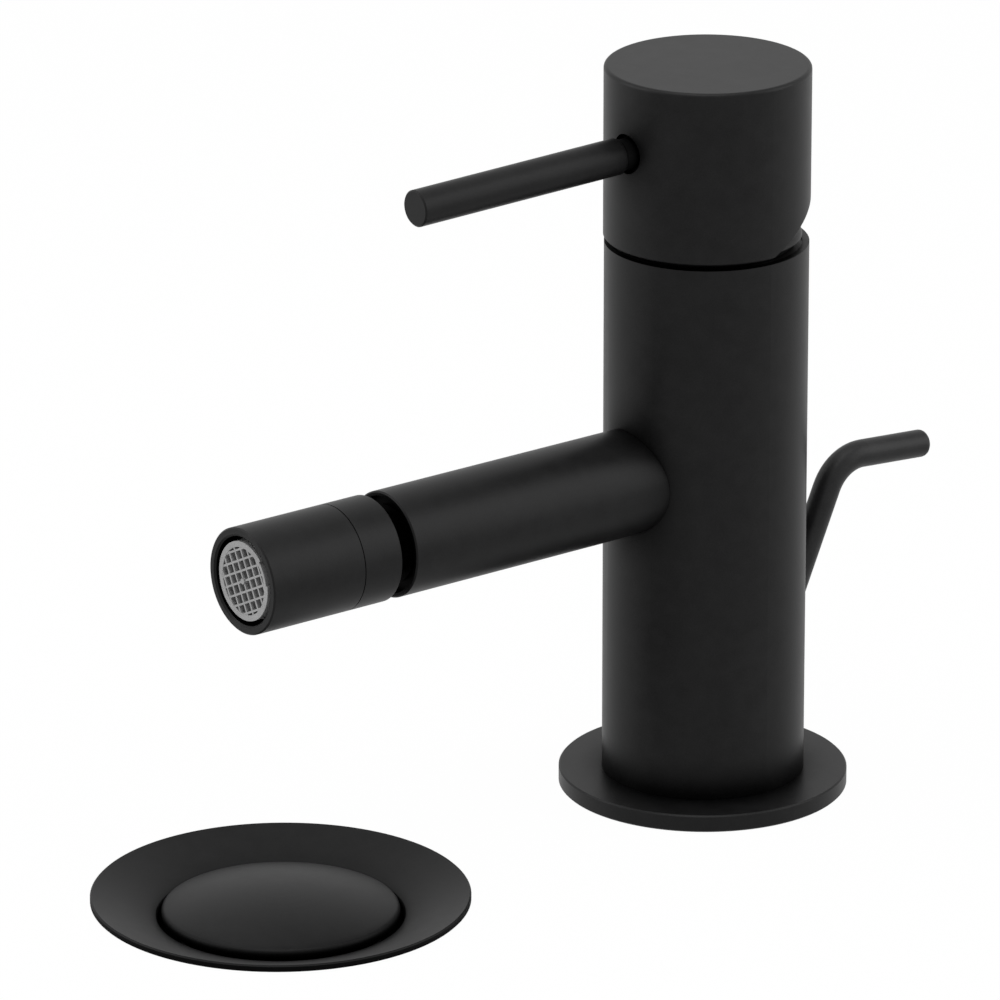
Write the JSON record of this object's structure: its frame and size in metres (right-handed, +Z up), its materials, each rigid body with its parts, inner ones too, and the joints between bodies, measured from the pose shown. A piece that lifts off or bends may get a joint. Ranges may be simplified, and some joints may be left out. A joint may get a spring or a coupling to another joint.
{
  "type": "bidet mixer",
  "caption": "Single-lever bidet mixer, matt black, with round body, ball-jointed spout nozzle with aerator, rear lift rod and pop-up waste.",
  "frame": {"origin": "centre of the base flange's underside, on the deck plane, at the tap hole's axis", "axes": "+Z up along the body's axis; the spout and lever point to -Y; the lift rod stands behind, at +Y; +X is to the right seen from behind the spout's mouth looking along +Y"},
  "size_m": [0.077, 0.2065, 0.2659],
  "materials": {
    "black_finish": "matt black finish with a fine soft texture on brass",
    "rubber": "black moulded rubber",
    "white_plastic": "natural acetal",
    "black_plastic": "black acetal",
    "grey_plastic": "light grey moulded plastic",
    "steel": "stainless steel",
    "brass": "turned brass",
    "ceramic": "lapped white ceramic"
  },
  "bodies": {
    "root": {"mixer_body": "black_finish", "base_flange": "black_finish", "base_gasket": "rubber", "spout": "black_finish", "spout_oring": "rubber", "ball_stub": "black_finish", "cartridge_housing": "white_plastic", "cartridge_base": "white_plastic", "cartridge_seals": "rubber", "fixed_disc": "ceramic", "retaining_nut": "brass", "cover_ring": "black_finish", "rod_bush": "white_plastic", "fixing_studs": "steel", "horseshoe_gasket": "rubber", "horseshoe_washer": "steel", "fixing_nuts": "brass", "waste_flange": "black_finish", "flange_gasket": "rubber", "cone_gasket": "rubber", "slip_washer": "white_plastic", "waste_back_nut": "brass", "waste_lower_body": "black_finish", "tailpiece": "black_finish", "tailpiece_gasket": "rubber", "tailpiece_nut": "black_finish", "ball_seats": "white_plastic", "ball_nut": "black_finish"},
    "carrier": {"stem_carrier": "white_plastic", "stem_pin": "steel"},
    "handle": {"handle": "black_finish", "lever": "black_finish", "handle_grub_screw": "steel", "stem": "brass"},
    "mixing_slide": {"moving_disc": "ceramic", "disc_driver": "white_plastic"},
    "slip_ring": {"ball_slip_ring": "black_plastic"},
    "nozzle": {"nozzle_collar": "black_finish", "nozzle_sleeve": "black_finish", "nozzle_seal": "rubber", "aerator_insert": "grey_plastic", "aerator_screens": "steel", "aerator_gasket": "rubber"},
    "lift_rod": {"lift_rod": "black_finish", "rod_clamp": "brass", "clamp_screws": "steel"},
    "ball_rod": {"ball_rod": "steel"},
    "plug": {"plug_cap": "black_finish", "plug_seal": "rubber", "plug_stem": "brass", "plug_lock_nut": "brass"}
  },
  "joints": [
    {"name": "handle_turn", "type": "hinge", "parent": "root", "child": "carrier", "pos_m": [0, 0, 0.1205], "axis": [0, 0, 1], "range_deg": [-50, 50]},
    {"name": "handle_lift", "type": "hinge", "parent": "carrier", "child": "handle", "pos_m": [0, 0, 0.1205], "axis": [-1, 0, 0], "range_deg": [0, 25]},
    {"name": "disc_travel", "type": "slide", "parent": "carrier", "child": "mixing_slide", "axis": [0, -1, 0], "range_m": [0, 0.005]},
    {"name": "nozzle_swing", "type": "hinge", "parent": "root", "child": "slip_ring", "pos_m": [0, -0.089, 0.07035], "axis": [0, 0, 1], "range_deg": [-12, 12]},
    {"name": "nozzle_tilt", "type": "hinge", "parent": "slip_ring", "child": "nozzle", "pos_m": [0, -0.089, 0.07035], "axis": [1, 0, 0], "range_deg": [-12, 12]},
    {"name": "lift_rod_slide", "type": "slide", "parent": "root", "child": "lift_rod", "axis": [0, 0.4067, 0.9135], "range_m": [-0.015, 0]},
    {"name": "ball_rod_rock", "type": "hinge", "parent": "root", "child": "ball_rod", "pos_m": [0, -0.083, -0.045], "axis": [1, 0, 0], "range_deg": [-12.2, 0]},
    {"name": "plug_rise", "type": "slide", "parent": "root", "child": "plug", "axis": [0, 0, 1], "range_m": [0, 0.0057]}
  ],
  "couplings": [
    {"joint": "disc_travel", "follows": "handle_lift", "m_per_rad": 0.011235},
    {"joint": "ball_rod_rock", "follows": "lift_rod_slide", "rad_per_m": 14.1},
    {"joint": "plug_rise", "follows": "lift_rod_slide", "ratio": -0.375}
  ]
}
